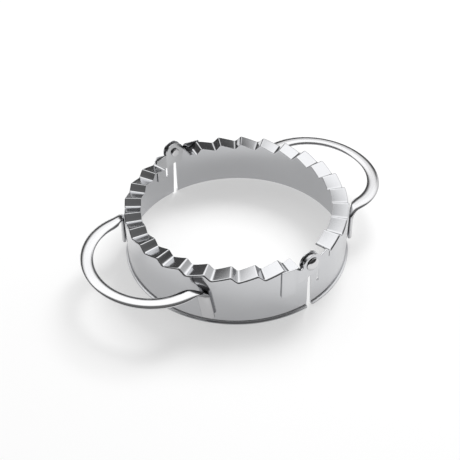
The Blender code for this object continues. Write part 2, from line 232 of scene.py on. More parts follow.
def with_mark(grid: np.ndarray, middle: np.ndarray, radius: float, clear: float) -> np.ndarray:
    """Open a grid of flat points for a small round mark and add the mark's own points.

    Args:
        grid: Flat points.
        middle: Middle of the mark.
        radius: Radius of the mark.
        clear: Share of the radius inside which the grid's own points go.

    Returns:
        The grid's points that stay, then the mark's middle and rings.
    """
    turns = np.linspace(0, math.tau, MARK_SIDES, endpoint=False)
    rings = [middle + size * radius * np.array([math.cos(turn), math.sin(turn)])
             for size in MARK_RINGS for turn in turns]
    kept = grid[np.hypot(*(grid - middle).T) > radius * clear]
    return np.concatenate([kept, np.array([middle, *rings])])


def far_from(points: np.ndarray, loops: Sequence[np.ndarray], gap: float) -> np.ndarray:
    """Tell which points keep a gap from every outline point."""
    keep = np.ones(len(points), bool)
    for loop in loops:
        for low in range(0, len(points), BATCH):
            part = points[low:low + BATCH]
            away = np.min(np.sum((part[:, None] - loop[None]) ** 2, axis=2), axis=1)
            keep[low:low + BATCH] &= away > gap * gap
    return keep


# Meshes

@dataclass(frozen=True)
class PressedSheet:
    """Sheet metal with rounded cut edges, drawn flat and then placed on its formed surface.

    Attributes:
        name: Name of the piece.
        loops: Flat outlines, the outer one first and then the holes.
        inner: Flat points inside the outline that carry the form.
        place: Puts flat points at given depths below the outer face.
        thickness: Thickness of the sheet.
        edge_radius: How far down the rounding of a cut edge reaches.
        edge_reach: Gives how far in from the cut it reaches; as far as down if left out.
        probe: Small flat distance over which the surface's slope is measured.
        edge_steps: Chords in each quarter of a rounded edge.
        mirrored: Whether placing turns the flat drawing over.
    """

    name: str
    loops: list[np.ndarray]
    inner: np.ndarray
    place: Placing
    thickness: float
    edge_radius: float
    edge_reach: Rounding | None = None
    probe: float = 0.02 * MM
    edge_steps: int = 3
    mirrored: bool = False

    def reach_in(self, loop: np.ndarray) -> np.ndarray:
        """Give the distance from the cut to where the flat face starts, at outline points."""
        return self.edge_reach(loop) if self.edge_reach else np.full(len(loop), self.edge_radius)

    def slopes(self, flat: np.ndarray, depth: np.ndarray) -> tuple[np.ndarray, np.ndarray, np.ndarray]:
        """Measure the formed surface at flat points.

        Args:
            flat: Flat points.
            depth: Depth of each below the outer face.

        Returns:
            The surface's two slopes and its unit normal at each point.
        """
        x, y = np.array([self.probe, 0.0]), np.array([0.0, self.probe])
        along = (self.place(flat + x, depth) - self.place(flat - x, depth)) / (2 * self.probe)
        across = (self.place(flat + y, depth) - self.place(flat - y, depth)) / (2 * self.probe)
        normal = np.cross(along, across) * (-1.0 if self.mirrored else 1.0)
        return along, across, unit(normal)

    def edge_rings(self, loop: np.ndarray) -> tuple[list[np.ndarray], list[np.ndarray]]:
        """Make the rings of points between face and back that carry a loop's rounded edge.

        Args:
            loop: Flat outline with the sheet on its left.

        Returns:
            Placed rings, and the normals at their points.
        """
        outward, reach = outward_of(loop)
        level = self.reach_in(loop)
        quarter = np.linspace(0.0, math.pi / 2, self.edge_steps + 1)[1:]
        rings, normals = [], []
        for facing in (1.0, -1.0):
            for turn in (quarter if facing > 0 else quarter[::-1]):
                inset = level * (1 - math.sin(turn))
                sunk = self.edge_radius * (1 - math.cos(turn))
                flat = loop - outward * (reach * inset)[:, None]
                depth = np.full(len(loop), sunk if facing > 0 else self.thickness - sunk)
                along, across, normal = self.slopes(flat, depth)
                side = along * outward[:, 0:1] + across * outward[:, 1:2]
                side = unit(side - normal * np.sum(side * normal, axis=1, keepdims=True))
                rings.append(self.place(flat, depth))
                normals.append(unit(normal * (math.cos(turn) * facing * level)[:, None]
                                    + side * (math.sin(turn) * self.edge_radius)))
        return rings, normals

    def build(self) -> bpy.types.Object:
        """Make the closed mesh with exact normals.

        Returns:
            The sheet, with its normals and no material yet.
        """
        loops = [wound(loop, index > 0) for index, loop in enumerate(self.loops)]
        insets = []
        for loop in loops:
            outward, reach = outward_of(loop)
            insets.append(loop - outward * (reach * self.reach_in(loop))[:, None])
        inner = self.inner[within(self.inner, insets)]
        flat, triangles = self.filled(insets, inner[far_from(inner, insets, POINT_GAP)])
        verts: list[np.ndarray] = []
        normals: list[np.ndarray] = []
        faces: list[tuple[int, ...]] = []
        for depth, facing in ((0.0, 1.0), (self.thickness, -1.0)):
            depths = np.full(len(flat), depth)
            verts.append(self.place(flat, depths))
            normals.append(self.slopes(flat, depths)[2] * facing)
        back = len(flat)
        faces += [tuple(triangle) for triangle in triangles]
        faces += [tuple(back + point for point in triangle[::-1]) for triangle in triangles]
        first, top = 0, 2 * back
        for loop in loops:
            rings, ring_normals = self.edge_rings(loop)
            count = len(loop)
            verts += rings
            normals += ring_normals
            starts = [first, *range(top, top + len(rings) * count, count), back + first]
            numbers = [np.arange(start, start + count) for start in starts]
            top += len(rings) * count
            for upper, lower in zip(numbers, numbers[1:]):
                corners = (upper, lower, np.roll(lower, -1), np.roll(upper, -1))
                faces += list(zip(*(corner.tolist() for corner in corners)))
            first += count
        if self.mirrored:
            faces = [face[::-1] for face in faces]
        mesh = bpy.data.meshes.new(self.name)
        mesh.from_pydata(np.concatenate(verts).tolist(), [], faces)
        mesh.shade_smooth()
        mesh.normals_split_custom_set_from_vertices(np.concatenate(normals).tolist())
        return linked(self.name, mesh)

    @staticmethod
    def filled(insets: Sequence[np.ndarray], inner: np.ndarray) -> tuple[np.ndarray, list[list[int]]]:
        """Fill the flat sheet with triangles.

        Args:
            insets: Outlines of the face, the outer one first.
            inner: Points inside them.

        Returns:
            All flat points, outlines first, and the triangles between them.
        """
        flat = np.concatenate([*insets, inner])
        edges, first = [], 0
        for loop in insets:
            count = len(loop)
            edges += [(first + index, first + (index + 1) % count) for index in range(count)]
            first += count
        scaled = [Vector(point) for point in (flat / MM).tolist()]
        points, _, triangles, sources, *_ = delaunay_2d_cdt(scaled, edges, [], 0, FILL_GAP, True)
        owner = [source[0] if source else -1 for source in sources]
        middles = np.array([[sum(points[i][axis] for i in tri) / 3 for axis in (0, 1)] for tri in triangles])
        inside = within(middles * MM, insets)
        kept = []
        for triangle, good in zip(triangles, inside):
            named = [owner[index] for index in triangle]
            if good and min(named) >= 0 and len(set(named)) == 3:
                kept.append(named)
        return flat, kept


def turned_piece(name: str, profile: np.ndarray, steps: int, closed: bool) -> bpy.types.Object:
    """Turn a profile of radius and reach about the hinge axis.

    Args:
        name: Name of the piece.
        profile: Radius and place along the axis of each profile point.
        steps: Number of sides round the axis.
        closed: Whether the profile's end joins its start.

    Returns:
        The new object, its turning axis along +Y through the origin.
    """
    verts, faces, rows = [], [], []
    for radius, reach in profile:
        if radius < SAME_PLACE:
            rows.append([len(verts)] * steps)
            verts.append((0.0, reach, 0.0))
            continue
        rows.append(list(range(len(verts), len(verts) + steps)))
        for turn in np.linspace(0.0, math.tau, steps, endpoint=False):
            verts.append((radius * math.sin(turn), reach, radius * math.cos(turn)))
    pairs = list(zip(rows, rows[1:])) + ([(rows[-1], rows[0])] if closed else [])
    for near, far in pairs:
        for index in range(steps):
            ahead = (index + 1) % steps
            ring = [near[index], near[ahead], far[ahead], far[index]]
            faces.append([point for place, point in enumerate(ring) if point not in ring[:place]])
    mesh = bpy.data.meshes.new(name)
    mesh.from_pydata(verts, [], faces)
    mesh.shade_smooth()
    mesh.set_sharp_from_angle(angle=TURNED_SHARP)
    return linked(name, mesh)


# Finishes

class NodeBoard:
    """Small helper that wires shader nodes together."""

    def __init__(self, tree: bpy.types.NodeTree) -> None:
        """Keep the node tree that is being wired."""
        self.tree = tree

    def add(self, kind: str, **settings: object) -> bpy.types.Node:
        """Add a node.

        Args:
            kind: Node type.
            **settings: Properties of the node.

        Returns:
            The new node.
        """
        node = self.tree.nodes.new(kind)
        for key, value in settings.items():
            setattr(node, key, value)
        return node

    def join(self, source: bpy.types.NodeSocket, target: bpy.types.NodeSocket) -> None:
        """Link one socket to another."""
        self.tree.links.new(source, target)

    def feed(self, target: bpy.types.NodeSocket, value: object) -> None:
        """Link or set an input, whichever the value calls for."""
        if isinstance(value, bpy.types.NodeSocket):
            self.join(value, target)
        else:
            target.default_value = value

    def sum(self, operation: str, *values: object) -> bpy.types.NodeSocket:
        """Work out a number from one, two or three others.

        Args:
            operation: Name of the math operation.
            *values: Sockets or numbers.

        Returns:
            Socket with the result.
        """
        node = self.add("ShaderNodeMath", operation=operation)
        for socket, value in zip(node.inputs, values):
            self.feed(socket, value)
        return node.outputs[0]

    def times(self, first: object, second: object) -> bpy.types.NodeSocket:
        """Multiply two numbers."""
        return self.sum("MULTIPLY", first, second)

    def distance(self, first: object, second: object) -> bpy.types.NodeSocket:
        """Measure a distance from its two parts."""
        return self.sum("SQRT", self.sum("ADD", self.times(first, first), self.times(second, second)))

    def white(self, kind: str, strength: object) -> bpy.types.NodeSocket:
        """Add a white light of a given node type."""
        node = self.add(kind)
        node.inputs["Color"].default_value = WHITE
        self.feed(node.inputs["Strength"], strength)
        return node.outputs[0]

    def mixed(self, *parts: bpy.types.NodeSocket) -> bpy.types.NodeSocket:
        """Blend two shaders by a share, which comes first."""
        node = self.add("ShaderNodeMixShader")
        for socket, part in zip(node.inputs, parts):
            self.join(part, socket)
        return node.outputs[0]

    def ranged(self, value: object, low: float, high: float, to_low: float, to_high: float,
               smooth: bool = False) -> bpy.types.NodeSocket:
        """Carry a number from one range into another.

        Args:
            value: Socket with the number.
            low: Start of the range that is read.
            high: End of the range that is read.
            to_low: Result at the start.
            to_high: Result at the end.
            smooth: Whether the ends are eased.

        Returns:
            Socket with the result.
        """
        kind = "SMOOTHSTEP" if smooth else "LINEAR"
        node = self.add("ShaderNodeMapRange", interpolation_type=kind, clamp=True)
        for socket, number in zip(node.inputs, (value, low, high, to_low, to_high)):
            self.feed(socket, number)
        return node.outputs[0]

    def noise(self, vector: bpy.types.NodeSocket, scale: float, detail: float,
              rough: float) -> bpy.types.NodeSocket:
        """Add a noise pattern.

        Args:
            vector: Where the pattern is read.
            scale: How fine it is.
            detail: How many finer layers it has.
            rough: How strong these layers are.

        Returns:
            Socket with the pattern, from 0 to 1.
        """
        node = self.add("ShaderNodeTexNoise")
        for name, value in (("Vector", vector), ("Scale", scale), ("Detail", detail), ("Roughness", rough)):
            self.feed(node.inputs[name], value)
        return node.outputs[0]

    def point(self, x: object, y: object, z: object) -> bpy.types.NodeSocket:
        """Join three numbers into a place for a pattern."""
        node = self.add("ShaderNodeCombineXYZ")
        for socket, value in zip(node.inputs, (x, y, z)):
            self.feed(socket, value)
        return node.outputs[0]


@dataclass(frozen=True)
class PolishedSteel:
    """Polished stainless steel with fine polishing lines, handling marks and faint scratches.

    Attributes:
        name: Name of the finish.
        tone: Reflected colour.
        roughness: Roughness of the clean polish.
        grain: Course of the polishing lines.
        line_height: Height of the polishing lines.
        mark_roughness: Roughness that handling marks add.
        mark_size: Pattern scale of the handling marks.
        foot_wear: Roughness that standing and cutting add to the foot, low on the piece.
        centre: Middle about which the polishing lines run, in X and Z.
        line_range: Part of the lines' pattern that changes the roughness.
        line_roughness: Most that a line adds to the roughness or takes from it.
        mark_range: Part of the marks' pattern in which a mark fades in.
        cloud_range: Part of the clouds' pattern in which the tone gets duller.
        dull_share: Share of the tone that is left there.
        scratch_scale: Scales of the scratches' pattern along X, Y and Z.
        scratch_range: Part of that pattern in which a scratch fades in.
        scratch_depth: Depth of a scratch as a share of the lines' height.
        worn_height: Heights between which the wear of the foot fades.
    """

    name: str
    tone: tuple[float, float, float]
    roughness: float
    grain: Grain
    line_height: float = 0.6e-6
    mark_roughness: float = 0.05
    mark_size: float = 45.0
    foot_wear: float = 0.0
    centre: tuple[float, float] = (0.0, 0.0)
    line_range: tuple[float, float] = (0.3, 0.7)
    line_roughness: float = 0.02
    mark_range: tuple[float, float] = (0.46, 0.68)
    cloud_range: tuple[float, float] = (0.35, 0.65)
    dull_share: float = 0.965
    scratch_scale: tuple[float, float, float] = (260.0, 900.0, 420.0)
    scratch_range: tuple[float, float] = (0.72, 0.76)
    scratch_depth: float = 0.6
    worn_height: tuple[float, float] = (0.9 * MM, 1.9 * MM)

    def line_place(self, board: NodeBoard, x: bpy.types.NodeSocket, y: bpy.types.NodeSocket,
                   z: bpy.types.NodeSocket) -> bpy.types.NodeSocket:
        """Stretch a place on the steel along the polishing lines.

        Args:
            board: Node helper.
            x: Place along X.
            y: Place along Y.
            z: Height.

        Returns:
            Socket with the stretched place.
        """
        along, across = self.grain.value
        if self.grain is Grain.UPRIGHT:
            return board.point(board.times(x, across), y, board.times(z, along))
        if self.grain is Grain.TURNED:
            rise = board.sum("SUBTRACT", z, self.centre[1])
            return board.point(board.times(board.distance(x, rise), across), board.sum("ARCTAN2", rise, x), y)
        middle = self.centre[0]
        side = x if middle == 0.0 else board.sum("SUBTRACT", board.sum("ABSOLUTE", x), middle)
        return board.point(board.times(board.sum("ARCTAN2", y, side), along),
                           board.times(board.distance(side, y), across), board.times(z, across))

    def material(self) -> bpy.types.Material:
        """Make the finish.

        Returns:
            Material whose nodes set the roughness, the tone and the fine relief.
        """
        made = bpy.data.materials.new(self.name)
        made.use_nodes = True
        board = NodeBoard(made.node_tree)
        shader = made.node_tree.nodes["Principled BSDF"]
        shader.inputs["Metallic"].default_value = 1.0
        place = board.add("ShaderNodeTexCoord").outputs["Object"]
        apart = board.add("ShaderNodeSeparateXYZ")
        board.join(place, apart.inputs[0])
        lines = board.noise(self.line_place(board, *apart.outputs), 1.0, 3.0, 0.6)
        marks = board.noise(place, self.mark_size, 4.0, 0.55)
        cloud = board.noise(place, self.mark_size * 0.35, 2.0, 0.5)
        spread = (board.times(part, scale) for part, scale in zip(apart.outputs, self.scratch_scale))
        scratches = board.noise(board.point(*spread), 1.0, 1.0, 0.4)
        smudge = board.ranged(marks, *self.mark_range, 0.0, 1.0, True)
        blur = board.sum("MULTIPLY_ADD", smudge, self.mark_roughness,
                         board.ranged(lines, *self.line_range, self.roughness - self.line_roughness,
                                      self.roughness + self.line_roughness))
        if self.foot_wear > 0.0:
            worn = board.ranged(apart.outputs[2], *self.worn_height, self.foot_wear, 0.0, True)
            blur = board.sum("ADD", blur, worn)
        board.join(blur, shader.inputs["Roughness"])
        tint = board.add("ShaderNodeMix", data_type="RGBA")
        board.join(board.ranged(cloud, *self.cloud_range, 0.0, 1.0, True), tint.inputs["Factor"])
        tint.inputs[6].default_value = (*self.tone, 1.0)
        tint.inputs[7].default_value = (*[channel * self.dull_share for channel in self.tone], 1.0)
        board.join(tint.outputs[2], shader.inputs["Base Color"])
        scratched = board.ranged(scratches, *self.scratch_range, 0.0, 1.0)
        relief = board.sum("MULTIPLY_ADD", scratched, -self.scratch_depth, lines)
        bump = board.add("ShaderNodeBump")
        for name, value in (("Strength", 1.0), ("Distance", self.line_height), ("Height", relief)):
            board.feed(bump.inputs[name], value)
        board.join(bump.outputs[0], shader.inputs["Normal"])
        return made


@dataclass(frozen=True)
class PressFinishes:
    """The finishes of the press."""

    ring: PolishedSteel = PolishedSteel("ring_steel", (0.60, 0.605, 0.62), 0.13, Grain.ROUND, foot_wear=0.18)
    handle: PolishedSteel = PolishedSteel("handle_steel", (0.66, 0.66, 0.67), 0.14, Grain.ROUND,
                                          centre=(55.2 * MM, 0.0))
    plate: PolishedSteel = PolishedSteel("plate_steel", (0.62, 0.625, 0.64), 0.14, Grain.UPRIGHT)
    inner_plate: PolishedSteel = PolishedSteel("inner_plate_steel", (0.60, 0.605, 0.615), 0.17, Grain.UPRIGHT)
    rivet: PolishedSteel = PolishedSteel("rivet_steel", (0.68, 0.68, 0.69), 0.10, Grain.TURNED,
                                         centre=(0.0, PIVOT_HEIGHT), mark_size=120.0, mark_roughness=0.03)
    washer: PolishedSteel = PolishedSteel("washer_steel", (0.52, 0.52, 0.53), 0.24, Grain.TURNED,
                                          centre=(0.0, PIVOT_HEIGHT), mark_size=120.0)


# Sub-assemblies

def hand_over(piece: bpy.types.Object, half: Half, body: str, node: str,
              material: bpy.types.Material) -> None:
    """Turn a piece into its half, give it its steel and hand it to its moving body.

    Args:
        piece: Piece made in the right half's place.
        half: Half that the piece is turned into.
        body: Moving body that it rides on.
        node: Solid that it stands for.
        material: Its steel.
    """
    if half is Half.LEFT:
        piece.data.transform(Matrix.Rotation(math.pi, 4, "Z"))
    piece.data.materials.clear()
    piece.data.materials.append(material)
    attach(piece, body)
    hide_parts(node)
    LOG.info("%s: %d faces", piece.name, len(piece.data.polygons))


def hand_over_turned(piece: bpy.types.Object, front: bool, kind: str, material: bpy.types.Material) -> None:
    """Lift a turned piece to the hinge axis and hand it to the left half's body.

    Args:
        piece: Piece turned about +Y through the origin.
        front: Whether it is the near one.
        kind: What it is, which ends the name of its solid.
        material: Its steel.
    """
    piece.data.transform(Matrix.Translation((0.0, 0.0, PIVOT_HEIGHT)))
    node = ("front_" if front else "rear_") + kind
    hand_over(piece, Half.LEFT if front else Half.RIGHT, Half.LEFT.body, node, material)


@dataclass(frozen=True)
class CrimpedRing:
    """Half ring of sheet with a flared foot, a plain wall and an inward crimped flange.

    Attributes:
        wall_radius: Outer radius of the wall.
        lip_bend: Radius of the hollow bend between wall and lip, on the outside.
        lip_turn: Angle through which that bend turns.
        lip_length: Length of the straight lip past the bend.
        lip_start: Height at which the bend starts.
        thickness: Sheet thickness.
        flange_inner_radius: Radius of the flange's inner edge.
        flange_height: Mean height of the flange's top.
        bend_radius: Outer radius of the bend between wall and flange.
        tooth_count: Teeth on the whole ring.
        tooth_depth: Height from valley to crest.
        tooth_steep: Share of a tooth that its steep side takes.
        tooth_blur: Spread of the smoothing at crests and in valleys, as shares of the pitch.
        flange_teeth: Places where the flange starts and ends, counted in teeth.
        edge_radius: Radius of the cut edges.
        outline_step: Longest side of the outline.
        slit_half: Half the width of the slit between the halves.
        slit_foot: Half its width at the foot.
        slit_joint: Height to which the foot's widening reaches.
        end_x: Distance of the far end from the hinge axis along X.
        notch_radius: Radius of the clearance about the hinge axis.
        notch_steps: Chords in that clearance.
        raised_edge: Height of the straight edge beside the pivot.
        wave_start: Height at which the wall starts to follow the teeth.
        relief_width: Width of the cut that parts the raised edge from the flange.
        relief_foot: Height of its foot.
        slot_sides: Where the slot beside the slit lies along X.
        slot_ends: Heights of its foot and top.
        slot_step: Longest side of its outline.
        weld: Place of the spot weld that holds the inner plate, in X and Z.
        weld_radius: Radius of its mark.
        weld_depth: Depth of its mark.
        form_steps: Form points in the width of a tooth.
        wall_rows: Heights of the form points on the plain wall, in millimetres.
        crimp_foot: Height of the lowest form points under the teeth.
    """

    wall_radius: float = 58.8 * MM
    lip_bend: float = 0.45 * MM
    lip_turn: float = math.radians(78)
    lip_length: float = 0.855 * MM
    lip_start: float = 1.408 * MM
    thickness: float = 0.8 * MM
    flange_inner_radius: float = 50.0 * MM
    flange_height: float = 29.1 * MM
    bend_radius: float = 0.9 * MM
    tooth_count: int = 28
    tooth_depth: float = 2.9 * MM
    tooth_steep: float = 0.25
    tooth_blur: tuple[float, float] = (0.026, 0.046)
    flange_teeth: tuple[float, float] = (-5.9375, 6.5)
    edge_radius: float = 0.2 * MM
    outline_step: float = 0.42 * MM
    slit_half: float = 0.5 * MM
    slit_foot: float = 1.6 * MM
    slit_joint: float = 20.0 * MM
    end_x: float = 1.2 * MM
    notch_radius: float = 5.2 * MM
    notch_steps: int = 14
    raised_edge: float = 28.8 * MM
    wave_start: float = 15.0 * MM
    relief_width: float = 0.45 * MM
    relief_foot: float = 25.2 * MM
    slot_sides: tuple[float, float] = (4.9 * MM, 6.3 * MM)
    slot_ends: tuple[float, float] = (14.0 * MM, 21.2 * MM)
    slot_step: float = 0.4 * MM
    weld: tuple[float, float] = (10.4 * MM, 22.5 * MM)
    weld_radius: float = 0.9 * MM
    weld_depth: float = 0.035 * MM
    form_steps: int = 26
    wall_rows: tuple[float, ...] = (3.2, 5.0, 7.5, 10.5, 14.0)
    crimp_foot: float = 17.0 * MM

    @property
    def pitch(self) -> float:
        """Angle from tooth to tooth."""
        return math.tau / self.tooth_count

    @property
    def flange_span(self) -> tuple[float, float]:
        """Angles where the flange starts and ends."""
        start, end = (teeth * math.tau / self.tooth_count for teeth in self.flange_teeth)
        return start, end

    @property
    def weld_place(self) -> tuple[float, float]:
        """Angle and height of the spot weld."""
        return -math.acos(self.weld[0] / self.wall_radius), self.weld[1]

    @property
    def wall_top(self) -> float:
        """Mean height at which the wall starts to bend."""
        return self.flange_height - self.bend_radius

    @property
    def bend_length(self) -> float:
        """Length of the bend, measured over its outside."""
        return self.bend_radius * math.pi / 2

    @property
    def foot_up(self) -> float:
        """Flat coordinate of the lip's free edge."""
        return self.lip_start - self.lip_bend * self.lip_turn - self.lip_length

    def lip(self, up: np.ndarray, depth: np.ndarray) -> tuple[np.ndarray, np.ndarray]:
        """Find how the lip at the foot carries a point away from the plain wall.

        Args:
            up: Flat coordinate up the sheet.
            depth: Depth below the outer face.

        Returns:
            Shifts of radius and height from the plain wall's place.
        """
        passed = np.maximum(self.lip_start - up, 0.0)
        swing = np.minimum(passed / self.lip_bend, self.lip_turn)
        past = np.maximum(passed - self.lip_bend * self.lip_turn, 0.0)
        reach = self.lip_bend + depth
        out = reach * (1 - np.cos(swing)) + past * math.sin(self.lip_turn)
        fall = -reach * np.sin(swing) - past * math.cos(self.lip_turn)
        return out, fall + passed

    @property
    def sheet_top(self) -> float:
        """Flat coordinate of the flange's inner edge."""
        return (self.wall_top + self.bend_length + self.wall_radius - self.bend_radius
                - self.flange_inner_radius)

    def tooth_profile(self) -> tuple[np.ndarray, np.ndarray]:
        """Draw one tooth: a long rise, a short fall, a round valley and a tighter crest.

        Returns:
            Shares of the pitch, and the height share from -1 to 1 at each.
        """
        count = 2048
        phase = np.arange(count) / count
        steep = self.tooth_steep / 2
        centred = (phase + 0.5) % 1 - 0.5
        rise = (np.abs(centred) - steep) / (0.5 - steep)
        raw = np.where(np.abs(centred) < steep, -centred / steep, np.copysign(1 - rise, -centred))
        away = np.minimum(np.arange(count), count - np.arange(count)) / count

        def blurred(width: float) -> np.ndarray:
            """Smooth the tooth with a bell of a given width."""
            bell = np.exp(-0.5 * (away / width) ** 2)
            return np.real(np.fft.ifft(np.fft.fft(raw) * np.fft.fft(bell / bell.sum())))

        tight, loose = (blurred(width) for width in self.tooth_blur)
        share = smooth_step((tight + 1) / 2)
        shaped = tight * share + loose * (1 - share)
        low, high = shaped.min(), shaped.max()
        return phase, (shaped - low) / (high - low) * 2 - 1

    def wave(self, turn: np.ndarray) -> np.ndarray:
        """Height that the crimp adds at angles round the ring."""
        phase, share = self.tooth_profile()
        return np.interp((turn / self.pitch) % 1, phase, share, period=1) * self.tooth_depth / 2

    def wave_share(self, up: np.ndarray) -> np.ndarray:
        """Share of the crimp that the wall follows at flat coordinates up the sheet."""
        return smooth_step((up - self.wave_start) / (self.wall_top - self.wave_start))

    def place(self, flat: np.ndarray, depth: np.ndarray) -> np.ndarray:
        """Put flat points on the ring.

        Args:
            flat: Length round the wall and height up the sheet.
            depth: Depth below the outer face.

        Returns:
            Places on the formed sheet.
        """
        turn, up = flat[:, 0] / self.wall_radius, flat[:, 1]
        wave = self.wave(turn)
        lift = wave * self.wave_share(up)
        out, fall = self.lip(up, depth)
        radius, height = self.wall_radius + out - depth, up + lift + fall
        over = up - self.wall_top
        bent = (over > 0) & (turn > self.flange_span[0] - self.relief_width / self.wall_radius / 2)
        swing = np.clip(over / self.bend_radius, 0.0, math.pi / 2)
        centre = self.wall_radius - self.bend_radius
        inward = np.maximum(over - self.bend_length, 0.0)
        tight = self.bend_radius - depth
        radius = np.where(bent, centre + tight * np.cos(swing) - inward, radius)
        height = np.where(bent, self.wall_top + wave + tight * np.sin(swing), height)
        weld_turn, weld_up = self.weld_place
        weld = np.hypot(turn - weld_turn, (up - weld_up) / self.wall_radius) * self.wall_radius
        radius = radius - self.weld_depth * smooth_step(1 - weld / self.weld_radius)
        return np.c_[radius * np.cos(turn), radius * np.sin(turn), height]

    def flat_of(self, x: float, z: float, front: bool) -> tuple[float, float]:
        """Find the flat place of a point that is given by its X and height on the wall.

        Args:
            x: Place along X.
            z: Height.
            front: Whether it is at the front end.

        Returns:
            Length round the wall and height up the sheet.
        """
        turn = math.acos(x / self.wall_radius) * (-1 if front else 1)
        up = z
        wave = float(self.wave(np.array([turn]))[0])
        for _ in range(FLAT_TRIES):
            up = z - wave * float(self.wave_share(np.array([up]))[0])
        return turn * self.wall_radius, up

    def corners(self, front: bool, *given: tuple[float, float, float]) -> list[tuple[float, float, float]]:
        """Lay corners flat that are given by X, height and rounding at one end of the half ring."""
        return [(*self.flat_of(x, z, front), radius) for x, z, radius in given]

    def notch(self, start: float, end: float, front: bool) -> list[tuple[float, float, float]]:
        """Make the round clearance about the hinge axis, as flat corners."""
        points = arc((0.0, PIVOT_HEIGHT), self.notch_radius, start, end, self.notch_steps)
        return self.corners(front, *((x, z, 0.0) for x, z in points))

    def outline(self) -> np.ndarray:
        """Draw the half ring's flat outline, from the slit's foot up, over and back.

        Returns:
            Outline points.
        """
        start, end = (turn * self.wall_radius for turn in self.flange_span)
        notch, edge, shoulder = self.notch_radius, self.raised_edge, self.wall_top + 0.5 * MM
        slit_angle = math.asin(self.slit_half / notch) - math.pi / 2
        edge_angle = -math.asin((PIVOT_HEIGHT - edge) / notch)
        top_angle = -math.asin((PIVOT_HEIGHT - shoulder) / notch)
        end_lean = math.asin(self.end_x / notch)
        relief_x = self.wall_radius * math.cos(self.flange_span[0]) - self.relief_width
        corners = [
            *self.corners(True, (self.slit_foot, self.foot_up, 1.5 * MM),
                          (self.slit_half, self.slit_joint, 0.0)),
            *self.notch(slit_angle, edge_angle, True)[:-1],
            *self.corners(True, (notch * math.cos(edge_angle), edge, 0.3 * MM), (relief_x, edge, 0.4 * MM),
                          (relief_x, self.relief_foot, 0.2 * MM)),
            (start, self.relief_foot, 0.2 * MM), (start, self.sheet_top, 0.5 * MM),
            (end, self.sheet_top, 0.5 * MM), (end, self.wall_top, 0.3 * MM),
            *self.corners(False, (notch * math.cos(top_angle), shoulder, 0.2 * MM)),
            *self.notch(end_lean - math.pi / 2, top_angle, False)[::-1][1:-1],
            *self.corners(False, (self.end_x, PIVOT_HEIGHT - notch * math.cos(end_lean), 0.2 * MM),
                          (self.end_x, self.foot_up, 0.5 * MM))]
        return divided(eased_outline(corners), self.outline_step)

    def slot(self) -> np.ndarray:
        """Draw the short upright slot beside the slit.

        Returns:
            Outline points.
        """
        left, right = self.slot_sides
        radius = (right - left) / 2
        middle = left + radius
        top = arc((middle, self.slot_ends[1] - radius), radius, 0.0, math.pi, 8)
        foot = arc((middle, self.slot_ends[0] + radius), radius, math.pi, math.tau, 8)
        return divided(np.array([self.flat_of(x, z, True) for x, z in top + foot]), self.slot_step)

    def form_points(self) -> np.ndarray:
        """Choose the flat points that carry the flare, the bend and the teeth.

        Returns:
            Flat points over the whole half ring.
        """
        step = self.pitch / self.form_steps
        turns = np.arange(-math.pi / 2, math.pi / 2 + step, step)
        foot = np.concatenate([[self.foot_up + 0.42 * MM, self.foot_up + 0.65 * MM],
                               self.lip_start - self.lip_bend * self.lip_turn * np.linspace(1.0, 0.0, 8),
                               [self.lip_start + 0.4 * MM]])
        crimp = np.linspace(self.crimp_foot, self.wall_top, 6)
        bend = self.wall_top + self.bend_length * np.linspace(0.0, 1.0, 12)[1:]
        flange = np.linspace(bend[-1], self.sheet_top, 6)[1:-1]
        # Below the teeth the points stand half as close round the ring.
        coarse = turns[::2] * self.wall_radius
        grid = np.concatenate([meshed(coarse, np.concatenate([foot, np.array(self.wall_rows) * MM])),
                               meshed(turns * self.wall_radius, np.concatenate([crimp, bend, flange]))])
        weld_turn, weld_up = self.weld_place
        return with_mark(grid, np.array([weld_turn * self.wall_radius, weld_up]), self.weld_radius, 1.1)

    def build(self, half: Half, material: bpy.types.Material) -> None:
        """Make one half ring.

        Args:
            half: Half that it belongs to.
            material: Its steel.
        """
        side = half.name.lower()
        sheet = PressedSheet(side + "_half_ring", [self.outline(), self.slot()], self.form_points(),
                             self.place, self.thickness, self.edge_radius)
        hand_over(sheet.build(), half, half.body, side + "_shell", material)


